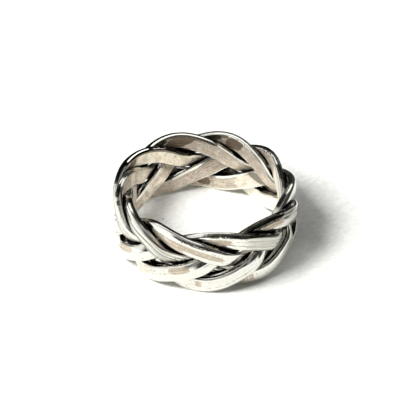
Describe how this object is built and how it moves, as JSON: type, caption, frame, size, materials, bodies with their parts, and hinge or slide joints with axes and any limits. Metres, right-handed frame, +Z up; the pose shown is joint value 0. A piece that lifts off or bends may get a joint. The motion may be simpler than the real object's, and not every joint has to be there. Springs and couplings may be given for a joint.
{
  "type": "braided band ring",
  "caption": "Finger ring woven from strands of flat-backed silver wire in a flat braid, with darkened recesses between the strands, lying on its side.",
  "frame": {"origin": "on the surface the ring lies on, below the middle of its finger hole", "axes": "+Z up along the finger's axis, -Y towards the viewer of the picture, +X to the viewer's right"},
  "size_m": [0.0224, 0.0224, 0.0083],
  "materials": {
    "silver": "polished silver, blackened in the recesses"
  },
  "bodies": {
    "root": {"strand_1": "silver", "strand_2": "silver", "strand_3": "silver", "strand_4": "silver", "strand_5": "silver"}
  },
  "joints": []
}
